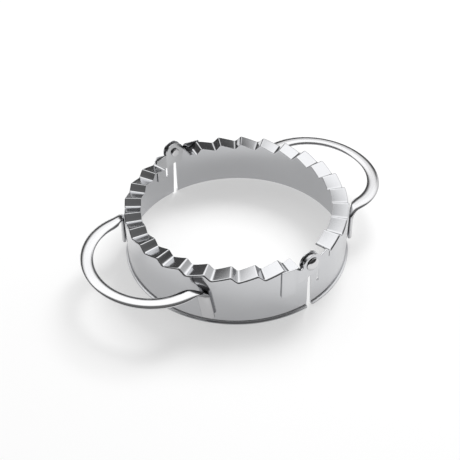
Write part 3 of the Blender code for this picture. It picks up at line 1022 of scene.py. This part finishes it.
@dataclass(frozen=True)
class LoopHandle:
    """Looped flat strip, bent down at both ends into tabs that lie on the ring's wall.

    Attributes:
        top: Height of the strip's top face.
        thickness: Strip thickness.
        centre_x: Middle of the loop's curve.
        reach: Half axis of the loop along X.
        half_width: Half axis of the loop along Y.
        tip_width: Strip width at the tip.
        side_width: Strip width at the side.
        side_turn: Angle where the loop's curve gives way to the arm.
        tab_radius: Radius of the tab's back.
        inner_end: Radius and angle where the strip's inner edge starts to bend down.
        outer_end: Radius and angle where its outer edge does.
        bend_height: Height that the bend takes up.
        tab_top: Angles of a tab's two edges at its top.
        tab_foot: Angles of these edges at its foot.
        foot_z: Height of the foot.
        tab_corner: Rounding of the tab's corners.
        edge_radius: How far down the rounding of the strip's edges reaches.
        edge_reach: How far in from the edge it reaches, on the loop and at the foot of a tab.
        edge_fade: Length over which the one gives way to the other.
        front_swing: Turn about Z by which the foot of the front tab is bent aside.
        swing_limit: Share of the tab's height up to which this turn goes on growing.
        aim_share: Share of the straight way in the direction with which an arm arrives.
        fineness: Points drawn along the loop, the arm, the bend and the tab.
        station_step: Length between stations along the strip.
        tail: Stations that give the direction past the strip's end.
        nominal_width: Width of the strip in the flat drawing.
        outline_step: Longest side of its outline.
        column_step: Length between form points along the strip.
    """

    top: float = 22.8 * MM
    thickness: float = 2.4 * MM
    centre_x: float = 55.2 * MM
    reach: float = 33.2 * MM
    half_width: float = 37.5 * MM
    tip_width: float = 6.3 * MM
    side_width: float = 7.9 * MM
    side_turn: float = math.radians(83.4)
    tab_radius: float = 59.4 * MM
    inner_end: tuple[float, float] = (62.1 * MM, math.radians(29.3))
    outer_end: tuple[float, float] = (64.2 * MM, math.radians(35.8))
    bend_height: float = 4.2 * MM
    tab_top: tuple[float, float] = (math.radians(34.0), math.radians(40.3))
    tab_foot: tuple[float, float] = (math.radians(36.1), math.radians(42.5))
    foot_z: float = 4.5 * MM
    tab_corner: float = 1.9 * MM
    edge_radius: float = 1.15 * MM
    edge_reach: tuple[float, float] = (2.6 * MM, 1.6 * MM)
    edge_fade: float = 8.0 * MM
    front_swing: float = math.radians(2.5)
    swing_limit: float = 1.2
    aim_share: float = 0.65
    fineness: tuple[int, int, int, int] = (700, 220, 90, 260)
    station_step: float = 0.05 * MM
    tail: int = 40
    nominal_width: float = 6.0 * MM
    outline_step: float = 0.55 * MM
    column_step: float = 1.1 * MM

    @property
    def tab_z(self) -> float:
        """Height where the bend gives way to the tab."""
        return self.top - self.bend_height

    def polar(self, radius: float, turn: float) -> np.ndarray:
        """Give a place at the strip's height by its distance from the ring's centre and its angle."""
        return np.array([radius * math.cos(turn), radius * math.sin(turn), self.top])

    @staticmethod
    def led(start: np.ndarray, start_lead: np.ndarray, end: np.ndarray, end_lead: np.ndarray,
            shares: np.ndarray) -> np.ndarray:
        """Run a smooth line between two points that leaves and arrives in given directions.

        Args:
            start: First point.
            start_lead: Direction and strength on leaving it.
            end: Last point.
            end_lead: Direction and strength on arriving.
            shares: Shares of the way at which points are wanted.

        Returns:
            Points of the line.
        """
        s = shares[:, None]
        return ((2 * s ** 3 - 3 * s ** 2 + 1) * start + (s ** 3 - 2 * s ** 2 + s) * start_lead
                + (3 * s ** 2 - 2 * s ** 3) * end + (s ** 3 - s ** 2) * end_lead)

    def edge_lines(self) -> tuple[np.ndarray, np.ndarray, np.ndarray]:
        """Draw the strip's two edges from the tip to the tab's foot.

        Returns:
            Inner edge points, outer edge points, and the share of the bend passed at each.
        """
        loop = np.linspace(0.0, self.side_turn, self.fineness[0])
        width = self.tip_width + (self.side_width - self.tip_width) * (loop / self.side_turn) ** 2
        arm, bend, drop = (np.linspace(0.0, last, count)[1:]
                           for last, count in zip((1.0, math.pi / 2, 1.0), self.fineness[1:]))
        edges = []
        for inset, end, top_turn, foot_turn in zip((width, width * 0), (self.inner_end, self.outer_end),
                                                   self.tab_top, self.tab_foot):
            x = self.centre_x + (self.reach - inset) * np.cos(loop)
            y = (self.half_width - inset) * np.sin(loop)
            curve = np.c_[x, y, np.full(len(loop), self.top)]
            target = self.polar(*end)
            lead = (curve[-1] - curve[-2]) / np.linalg.norm(curve[-1] - curve[-2])
            gap = float(np.linalg.norm(target - curve[-1]))
            foot = self.polar(self.tab_radius, top_turn)
            inward = (foot - target) / np.linalg.norm(foot - target)
            aim = (target - curve[-1]) / gap * self.aim_share + inward * (1 - self.aim_share)
            arm_line = self.led(curve[-1], lead * gap, target, aim * gap, arm)
            share = np.sin(bend)[:, None]
            bent = target + (foot - target) * share
            bent[:, 2] = self.top - self.bend_height * (1 - np.cos(bend))
            turns = top_turn + (foot_turn - top_turn) * drop
            tab = np.c_[self.tab_radius * np.cos(turns), self.tab_radius * np.sin(turns),
                        self.tab_z + (self.foot_z - self.tab_z) * drop]
            edges.append(np.concatenate([curve, arm_line, bent, tab]))
        passed = np.concatenate([np.zeros(len(loop) + len(arm)), bend / (math.pi / 2), np.ones(len(drop))])
        return edges[0], edges[1], passed

    def stations(self) -> dict[str, np.ndarray]:
        """Measure both edges along the strip's middle line.

        Returns:
            Lengths from the tip, the edge points and the bend's share, evenly spaced.
        """
        inner, outer, passed = self.edge_lines()
        middle = (inner + outer) / 2
        length = np.concatenate([[0.0], np.cumsum(np.linalg.norm(np.diff(middle, axis=0), axis=1))])
        even = np.arange(0.0, length[-1], self.station_step)
        table = {"length": even, "bend": np.interp(even, length, passed)}
        for name, edge in (("inner", inner), ("outer", outer)):
            table[name] = np.stack([np.interp(even, length, edge[:, axis]) for axis in range(3)], axis=1)
        return table

    def placer(self, table: dict[str, np.ndarray]) -> Placing:
        """Make the function that puts flat points on the strip.

        Args:
            table: Stations along the strip.

        Returns:
            Function of flat points and depths.
        """
        def read(values: np.ndarray, at: np.ndarray) -> np.ndarray:
            """Read a column of the stations at lengths along the strip, past the end too."""
            lengths = table["length"]
            slope = (values[-1] - values[-self.tail]) / (lengths[-1] - lengths[-self.tail])
            return np.interp(at, lengths, values) + np.maximum(at - lengths[-1], 0.0) * slope

        def place(flat: np.ndarray, depth: np.ndarray) -> np.ndarray:
            """Put flat points on the strip."""
            at, share = np.abs(flat[:, 0]), 0.5 - flat[:, 1] / self.nominal_width
            inner, outer = (np.stack([read(column, at) for column in table[edge].T], axis=1)
                            for edge in ("inner", "outer"))
            point = inner + (outer - inner) * (1 - share)[:, None]
            bend = np.clip(read(table["bend"], at), 0.0, 1.0)
            radius = np.hypot(point[:, 0], point[:, 1])
            chord = 4 * share * (1 - share)
            rise = 1 - math.cos((self.tab_top[1] - self.tab_top[0]) / 2)
            swell = smooth_step(bend) * chord * self.tab_radius * rise
            swing = bend * math.pi / 2
            outward = point[:, :2] / radius[:, None]
            spread = depth * np.sin(swing) + swell
            point = point + np.c_[outward * spread[:, None], -depth * np.cos(swing)]
            front = flat[:, 0] < 0
            point[:, 1] *= np.where(front, -1.0, 1.0)
            low = np.clip((self.tab_z - point[:, 2]) / (self.tab_z - self.foot_z), 0.0, self.swing_limit)
            aside = np.where(front, low * self.front_swing, 0.0)
            c, s = np.cos(aside), np.sin(aside)
            return np.c_[c * point[:, 0] - s * point[:, 1], s * point[:, 0] + c * point[:, 1], point[:, 2]]

        return place

    def build(self, half: Half, material: bpy.types.Material) -> None:
        """Make one handle.

        Args:
            half: Half that it belongs to.
            material: Its steel.
        """
        table = self.stations()
        end, side = float(table["length"][-1]), self.nominal_width / 2
        corners = [(end * x, side * y, self.tab_corner) for x, y in ((-1, -1), (1, -1), (1, 1), (-1, 1))]
        outline = divided(eased_outline(corners), self.outline_step)
        bend = table["length"][(table["bend"] > 0) & (table["bend"] < 1)]
        low, high = float(bend[0]), float(bend[-1])
        # The points stand closer together where the strip bends down.
        columns = np.concatenate([np.arange(0.0, low - 0.6 * MM, self.column_step),
                                  np.linspace(low - 0.5 * MM, high + 0.5 * MM, 22),
                                  np.arange(high + 1.4 * MM, end, self.column_step)])
        grid = meshed(np.concatenate([-columns[:0:-1], columns]), np.linspace(-side * 0.10, side * 0.10, 3))

        def rounding(loop: np.ndarray) -> np.ndarray:
            """Give how far in the rounded edge reaches, less at the foot of a tab."""
            loop_reach, foot_reach = self.edge_reach
            share = smooth_step((end - np.abs(loop[:, 0])) / self.edge_fade)
            return foot_reach + (loop_reach - foot_reach) * share

        side_name = half.name.lower()
        sheet = PressedSheet(side_name + "_loop", [outline], grid, self.placer(table), self.thickness,
                             self.edge_radius, edge_reach=rounding, probe=0.12 * MM, edge_steps=8,
                             mirrored=True)
        hand_over(sheet.build(), half, half.body, side_name + "_handle", material)


@dataclass(frozen=True)
class HingePlate:
    """Plate that lies on a half's wall and runs on as a round ear to the other half.

    Attributes:
        outside: Whether the plate lies on the outside of the wall.
        seat_radius: Radius of the plate's outer face where it lies on the wall.
        ear_y: Distance of the ear's outer face from the ring's centre.
        joggle: Where the step between wall and ear starts and ends along X.
        neck_x: Plate's edge under the ear.
        end_x: Plate's far edge.
        top: Height of the plate's top edge.
        shoulder: Corners between this edge and the ear: X, height and rounding.
        weld: Place of the spot weld in X and Z.
        thickness: Sheet thickness.
        ear_radius: Radius of the ear.
        ear_span: Angles where its curve starts and ends.
        heel: Corners under the ear: X, drop below the hinge axis and rounding, in millimetres.
        neck_drop: Drop of the neck's upper end below the hinge axis.
        foot: Height of the plate's lower edge.
        edge_radius: Radius of the cut edges.
        outline_step: Longest side of the outline.
        weld_radius: Radius of the weld's mark.
        weld_depth: Depth of the weld's mark.
    """

    outside: bool
    seat_radius: float
    ear_y: float
    joggle: tuple[float, float]
    neck_x: float
    end_x: float
    top: float
    shoulder: tuple[tuple[float, float, float], ...]
    weld: tuple[float, float]
    thickness: float = 0.7 * MM
    ear_radius: float = 5.66 * MM
    ear_span: tuple[float, float] = (math.radians(4), math.radians(190))
    heel: tuple[tuple[float, float, float], ...] = (
        (-4.3, 6.6, 0.8), (-3.6, 7.3, 0.6), (0.0, 6.9, 6.0), (3.0, 7.7, 3.0), (4.6, 8.3, 2.0))
    neck_drop: float = 8.3 * MM
    foot: float = 14.0 * MM
    edge_radius: float = 0.16 * MM
    outline_step: float = 0.4 * MM
    weld_radius: float = 0.85 * MM
    weld_depth: float = 0.05 * MM

    def place(self, flat: np.ndarray, depth: np.ndarray) -> np.ndarray:
        """Put flat points, given by X and height, on the plate.

        Args:
            flat: Points in X and Z.
            depth: Depth below the outer face.

        Returns:
            Places on the formed plate.
        """
        x, z = flat[:, 0], flat[:, 1]
        seat = np.sqrt(np.maximum((self.seat_radius - depth) ** 2 - x * x, 0.0))
        step = smooth_step((self.joggle[0] - x) / (self.joggle[0] - self.joggle[1]))
        weld = np.hypot(x - self.weld[0], z - self.weld[1])
        dent = self.weld_depth * smooth_step(1 - weld / self.weld_radius)
        y = seat * (1 - step) + (self.ear_y - depth) * step - dent
        return np.c_[x, y, z] if self.outside else np.c_[x, -y, z]

    def outline(self) -> np.ndarray:
        """Draw the plate's outline in X and Z.

        Returns:
            Outline points.
        """
        ear = [(x, z, 0.0) for x, z in arc((0.0, PIVOT_HEIGHT), self.ear_radius, *self.ear_span, 40)]
        heel = [(x * MM, PIVOT_HEIGHT - drop * MM, radius * MM) for x, drop, radius in self.heel]
        body = [(self.neck_x, PIVOT_HEIGHT - self.neck_drop, 0.5 * MM), (self.neck_x, self.foot, 0.6 * MM),
                (self.end_x, self.foot, 0.6 * MM), (self.end_x, self.top, 0.5 * MM), *self.shoulder]
        corners = (ear if self.outside else ear[1:]) + heel + body
        return divided(eased_outline(corners), self.outline_step)

    def form_points(self) -> np.ndarray:
        """Choose the flat points that carry the joggle and the weld mark.

        Returns:
            Flat points over the plate and its ear.
        """
        far, near = self.joggle
        # The points stand closer together where the plate steps off the wall.
        columns = np.concatenate([np.arange(-5.5 * MM, near - 0.3 * MM, 1.0 * MM),
                                  np.linspace(near - 0.2 * MM, far + 0.2 * MM, 12),
                                  np.arange(far + 0.8 * MM, self.end_x, 0.8 * MM)])
        grid = meshed(columns, np.arange(self.foot + 0.5 * MM, 35.5 * MM, 1.0 * MM))
        return with_mark(grid, np.array(self.weld), self.weld_radius, 1.15)

    def build(self, half: Half, node: str, slot: str, material: bpy.types.Material) -> None:
        """Make one plate.

        Args:
            half: Half that it is fixed to.
            node: Solid that it stands for.
            slot: Not used.
            material: Its steel.
        """
        hole = np.array(arc((0.0, PIVOT_HEIGHT), RIVET_HOLE, 0.0, math.tau, 32)[:-1])
        sheet = PressedSheet(node.replace("_plate", "_strap"), [self.outline(), hole], self.form_points(),
                             self.place, self.thickness, self.edge_radius, mirrored=self.outside)
        hand_over(sheet.build(), half, half.body, node, material)


@dataclass(frozen=True)
class HingeRivet:
    """Rivet with a domed head outside, a shank through both ears and a small tail inside.

    Attributes:
        shank: Radius of the shank.
        head_radius: Radius of the head.
        head_foot: Place of the head's flat back along the axis.
        head_height: Height of the head.
        head_edge: Height of its upright edge.
        dome_share: Share of the whole dome that is drawn before its edge is eased.
        head_ease: Reach of the eased edge.
        tail_radius: Radius of the tail.
        tail_top: Place of its flat face along the axis.
        tail_height: Height of the tail.
        tail_ease: Reach of its eased upper edge.
        tail_round: Radius of its lower edge.
    """

    shank: float = 1.5 * MM
    head_radius: float = 3.55 * MM
    head_foot: float = 60.3 * MM
    head_height: float = 1.7 * MM
    head_edge: float = 0.25 * MM
    dome_share: float = 0.97
    head_ease: float = 0.08 * MM
    tail_radius: float = 2.4 * MM
    tail_top: float = 56.5 * MM
    tail_height: float = 1.0 * MM
    tail_ease: float = 0.06 * MM
    tail_round: float = 0.4 * MM

    def profile(self) -> np.ndarray:
        """Draw the turned profile from the dome's crown to the tail's end.

        Returns:
            Radius and reach of each profile point.
        """
        rise = self.head_height - self.head_edge
        sphere = (self.head_radius ** 2 + rise ** 2) / (2 * rise)
        crown = self.head_foot + self.head_height
        points = [(sphere * math.sin(turn), crown - sphere * (1 - math.cos(turn)))
                  for turn in np.linspace(0.0, math.asin(self.head_radius / sphere) * self.dome_share, 20)]
        brow, ease = points[-1][1], self.head_ease
        points += [(self.head_radius - 0.03 * MM, brow - ease), (self.head_radius, brow - 2 * ease),
                   (self.head_radius, self.head_foot + ease), (self.head_radius - ease, self.head_foot)]
        points += [(self.shank, self.head_foot), (self.shank, self.tail_top),
                   (self.tail_radius - self.tail_ease, self.tail_top),
                   (self.tail_radius, self.tail_top - self.tail_ease)]
        end = self.tail_top - self.tail_height
        points += [(self.tail_radius - self.tail_round * (1 - math.cos(turn)),
                    end + self.tail_round * (1 - math.sin(turn)))
                   for turn in np.linspace(0.0, math.pi / 2, 6)]
        return np.array([*points, (self.tail_radius * 0.35, end + 0.02 * MM), (0.0, end + 0.05 * MM)])

    def build(self, front: bool, material: bpy.types.Material) -> None:
        """Make the near or the far rivet."""
        name = ("front" if front else "rear") + "_dome_rivet"
        hand_over_turned(turned_piece(name, self.profile(), 72, False), front, "rivet", material)


@dataclass(frozen=True)
class SpacerWasher:
    """Washer that fills the room between the two ears.

    Attributes:
        radius: Outer radius.
        inner: Place of its inner face along the axis.
        outer: Place of its outer face.
        rim_ease: Rounding of the outer edges.
        hole_ease: Rounding of the hole's edges.
    """

    radius: float = 4.5 * MM
    inner: float = 57.6 * MM
    outer: float = 59.2 * MM
    rim_ease: float = 0.15 * MM
    hole_ease: float = 0.08 * MM

    def build(self, front: bool, material: bpy.types.Material) -> None:
        """Make one washer.

        Args:
            front: Whether it is the near one.
            material: Its steel.
        """
        corners = [(RIVET_HOLE, self.outer, self.hole_ease), (self.radius, self.outer, self.rim_ease),
                   (self.radius, self.inner, self.rim_ease), (RIVET_HOLE, self.inner, self.hole_ease)]
        name = ("front" if front else "rear") + "_spacer"
        hand_over_turned(turned_piece(name, eased_outline(corners), 64, True), front, "washer", material)


# Studio

@dataclass(frozen=True)
class Worktop:
    """Plain pale worktop under the press.

    Attributes:
        reach: Half its width.
        tone: Its colour.
        glow: Share of even white in what the eye and the steel see of it.
    """

    reach: float = 3.0
    tone: tuple[float, float, float] = (0.93, 0.93, 0.93)
    glow: float = 0.52

    def build(self) -> None:
        """Make the worktop, which isn't part of the object."""
        mesh = bpy.data.meshes.new("worktop")
        r = self.reach
        mesh.from_pydata([(-r, -r, 0), (r, -r, 0), (r, r, 0), (-r, r, 0)], [], [(0, 1, 2, 3)])
        obj = linked("worktop", mesh)
        made = bpy.data.materials.new("worktop_white")
        made.use_nodes = True
        board = NodeBoard(made.node_tree)
        board.tree.nodes.clear()
        matt = board.add("ShaderNodeBsdfDiffuse")
        matt.inputs["Color"].default_value = (*self.tone, 1.0)
        path = board.add("ShaderNodeLightPath").outputs
        seen = board.sum("MAXIMUM", path["Is Camera Ray"],
                         board.sum("MAXIMUM", path["Is Glossy Ray"], path["Is Transmission Ray"]))
        even = board.white("ShaderNodeEmission", 1.0)
        mix = board.mixed(board.times(seen, self.glow), matt.outputs[0], even)
        board.join(mix, board.add("ShaderNodeOutputMaterial").inputs[0])
        mesh.materials.append(made)


@dataclass(frozen=True)
class Studio:
    """Soft studio: a bright far side, a dark side behind the camera, and one soft lamp.

    Attributes:
        far_azimuth: Direction of the bright side's middle.
        bright: Strength of the bright side, high up.
        far_range: Leans towards that direction over which it fades in.
        low_share: Share of it that is left low down.
        high_range: Sines of the heights between which it grows to its full strength.
        horizon: Sine of the height up to which it fades at the horizon, and the share left there.
        dark: Strengths of the dark side, low down and high up.
        dark_range: Sines of the heights between which the one gives way to the other.
        screen_azimuth: Direction of the middle of a dark screen that stands low round the bright side.
        screen_range: Leans towards that direction over which the screen fades in.
        screen_top: Sines of the heights at which the screen starts to fade and has faded.
        screen_share: Share of the light that it takes.
        lamp_place: Place of the lamp.
        lamp_size: Width of the lamp.
        lamp_power: Its power in watts.
    """

    far_azimuth: float = math.radians(53.43)
    bright: float = 1.55
    far_range: tuple[float, float] = (0.02, 0.30)
    low_share: float = 0.5
    high_range: tuple[float, float] = (0.35, 0.72)
    horizon: tuple[float, float] = (0.09, 0.3)
    dark: tuple[float, float] = (0.04, 0.18)
    dark_range: tuple[float, float] = (0.25, 0.78)
    screen_azimuth: float = math.radians(79)
    screen_range: tuple[float, float] = (0.42, 0.55)
    screen_top: tuple[float, float] = (0.42, 0.635)
    screen_share: float = 0.95
    lamp_place: tuple[float, float, float] = (0.75, 0.35, 0.95)
    lamp_size: float = 0.6
    lamp_power: float = 13.6

    def sky(self) -> None:
        """Light the surroundings by direction; the camera sees plain white."""
        world = bpy.data.worlds.new("studio")
        bpy.context.scene.world = world
        world.use_nodes = True
        board = NodeBoard(world.node_tree)
        board.tree.nodes.clear()
        apart = board.add("ShaderNodeSeparateXYZ")
        board.join(board.add("ShaderNodeTexCoord").outputs["Generated"], apart.inputs[0])
        x, y, z = apart.outputs
        level = board.sum("SQRT", board.sum("MAXIMUM", board.sum("SUBTRACT", 1.0, board.times(z, z)), 1e-4))

        def toward(azimuth: float) -> bpy.types.NodeSocket:
            """Tell how far a direction leans to an azimuth."""
            return board.sum("ADD", board.times(x, math.cos(azimuth)), board.times(y, math.sin(azimuth)))

        far = board.ranged(toward(self.far_azimuth), *self.far_range, 0.0, 1.0, True)
        high = board.ranged(z, *self.high_range, self.low_share, 1.0, True)
        low = board.ranged(z, 0.0, *self.horizon, 1.0, True)
        beside = board.ranged(board.sum("DIVIDE", toward(self.screen_azimuth), level), *self.screen_range,
                              0.0, 1.0, True)
        screen = board.times(beside, board.ranged(z, *self.screen_top, self.screen_share, 0.0, True))
        share = board.times(board.times(far, high), board.times(low, board.sum("SUBTRACT", 1.0, screen)))
        dim = board.ranged(z, *self.dark_range, *self.dark, True)
        glow = board.sum("MULTIPLY_ADD", share, board.sum("SUBTRACT", self.bright, dim), dim)
        seen = board.add("ShaderNodeLightPath").outputs["Is Camera Ray"]
        mix = board.mixed(seen, *(board.white("ShaderNodeBackground", strength) for strength in (glow, 1.0)))
        board.join(mix, board.add("ShaderNodeOutputWorld").inputs[0])

    def lamp(self) -> None:
        """Hang one soft lamp behind the press and to the right.

        It lights the worktop, and the steel doesn't mirror it.
        """
        data = bpy.data.lights.new("soft_lamp", "AREA")
        data.shape = "SQUARE"
        data.size, data.energy = self.lamp_size, self.lamp_power
        obj = linked("soft_lamp", data)
        obj.location = self.lamp_place
        obj.rotation_euler = (-obj.location).to_track_quat("-Z", "Y").to_euler()
        obj.visible_glossy = False


@dataclass(frozen=True)
class Viewpoint:
    """Camera at the photograph's angle.

    Attributes:
        azimuth: Direction that it looks from, counted from -Y.
        elevation: Height angle that it looks from.
        roll: Turn about the line of sight.
        distance: Distance from the origin along that line.
        aside: Shift of the origin to the right in the picture.
        up: Shift of the origin upwards in the picture.
        lens: Focal length in millimetres.
        sensor: Width of the sensor in millimetres.
        clip: Nearest and farthest distance that is seen.
    """

    azimuth: float = math.radians(-36.571)
    elevation: float = math.radians(40.847)
    roll: float = math.radians(-1.108)
    distance: float = 475.88 * MM
    aside: float = 3.766 * MM
    up: float = -7.667 * MM
    lens: float = 68.37
    sensor: float = 36.0
    clip: tuple[float, float] = (0.02, 20.0)

    def build(self) -> None:
        """Make the camera and hand it to the scene."""
        az, el = self.azimuth, self.elevation
        back = Vector((math.sin(az) * math.cos(el), -math.cos(az) * math.cos(el), math.sin(el)))
        right = Vector((math.cos(az), math.sin(az), 0.0))
        above = back.cross(right)
        c, s = math.cos(self.roll), math.sin(self.roll)
        side, over = right * c + above * s, above * c - right * s
        frame = Matrix((side, over, back)).transposed().to_4x4()
        frame.translation = side * -self.aside + over * -self.up + back * self.distance
        data = bpy.data.cameras.new("photo_view")
        data.lens, data.sensor_width = self.lens, self.sensor
        data.clip_start, data.clip_end = self.clip
        obj = linked("photo_view", data)
        obj.matrix_world = frame
        bpy.context.scene.camera = obj
        bpy.context.scene.view_settings.view_transform = "Standard"


@dataclass
class EmpanadaPress:
    """The whole press, assembled in order.

    Attributes:
        finishes: Steels of the pieces.
        ring: Half ring, made once for each half.
        handle: Handle, made once for each half.
        outer_plate: Plate outside the wall, fixed to the left half in front and to the right one behind.
        inner_plate: Plate inside the wall, the other way round.
        rivet: Rivet at each pivot.
        washer: Washer at each pivot.
    """

    finishes: PressFinishes = field(default_factory=PressFinishes)
    ring: CrimpedRing = field(default_factory=CrimpedRing)
    handle: LoopHandle = field(default_factory=LoopHandle)
    outer_plate: HingePlate = field(default_factory=lambda: HingePlate(
        outside=True, seat_radius=59.8 * MM, ear_y=60.1 * MM, joggle=(9.9 * MM, 7.9 * MM),
        neck_x=9.3 * MM, end_x=16.6 * MM, top=30.5 * MM, weld=(12.8 * MM, 24.5 * MM),
        shoulder=((9.6 * MM, 30.5 * MM, 1.0 * MM), (7.0 * MM, PIVOT_HEIGHT - 0.4 * MM, 1.2 * MM))))
    inner_plate: HingePlate = field(default_factory=lambda: HingePlate(
        outside=False, seat_radius=57.7 * MM, ear_y=57.4 * MM, joggle=(7.0 * MM, 5.0 * MM),
        neck_x=6.8 * MM, end_x=12.6 * MM, top=29.1 * MM, weld=(10.4 * MM, 22.5 * MM),
        shoulder=((6.3 * MM, 29.1 * MM, 0.5 * MM),)))
    rivet: HingeRivet = field(default_factory=HingeRivet)
    washer: SpacerWasher = field(default_factory=SpacerWasher)

    def build(self) -> None:
        """Make every piece of both halves."""
        steel = {name: getattr(self.finishes, name).material()
                 for name in ("ring", "handle", "plate", "inner_plate", "rivet", "washer")}
        for half in Half:
            self.ring.build(half, steel["ring"])
            self.handle.build(half, steel["handle"])
        for half, end in ((Half.LEFT, "front"), (Half.RIGHT, "rear")):
            self.outer_plate.build(half, end + "_outer_hinge_plate", "outer_hinge_plate", steel["plate"])
        for half, end in ((Half.RIGHT, "front"), (Half.LEFT, "rear")):
            self.inner_plate.build(half, end + "_inner_hinge_plate", "inner_hinge_plate",
                                   steel["inner_plate"])
        for front in (True, False):
            self.rivet.build(front, steel["rivet"])
            self.washer.build(front, steel["washer"])


def main() -> None:
    """Load the frame, build the press round it and set the studio."""
    logging.basicConfig(level=logging.INFO, format="%(message)s")
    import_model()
    EmpanadaPress().build()
    Worktop().build()
    studio = Studio()
    studio.sky()
    studio.lamp()
    Viewpoint().build()
    bpy.context.view_layer.update()


if __name__ == "__main__":
    main()
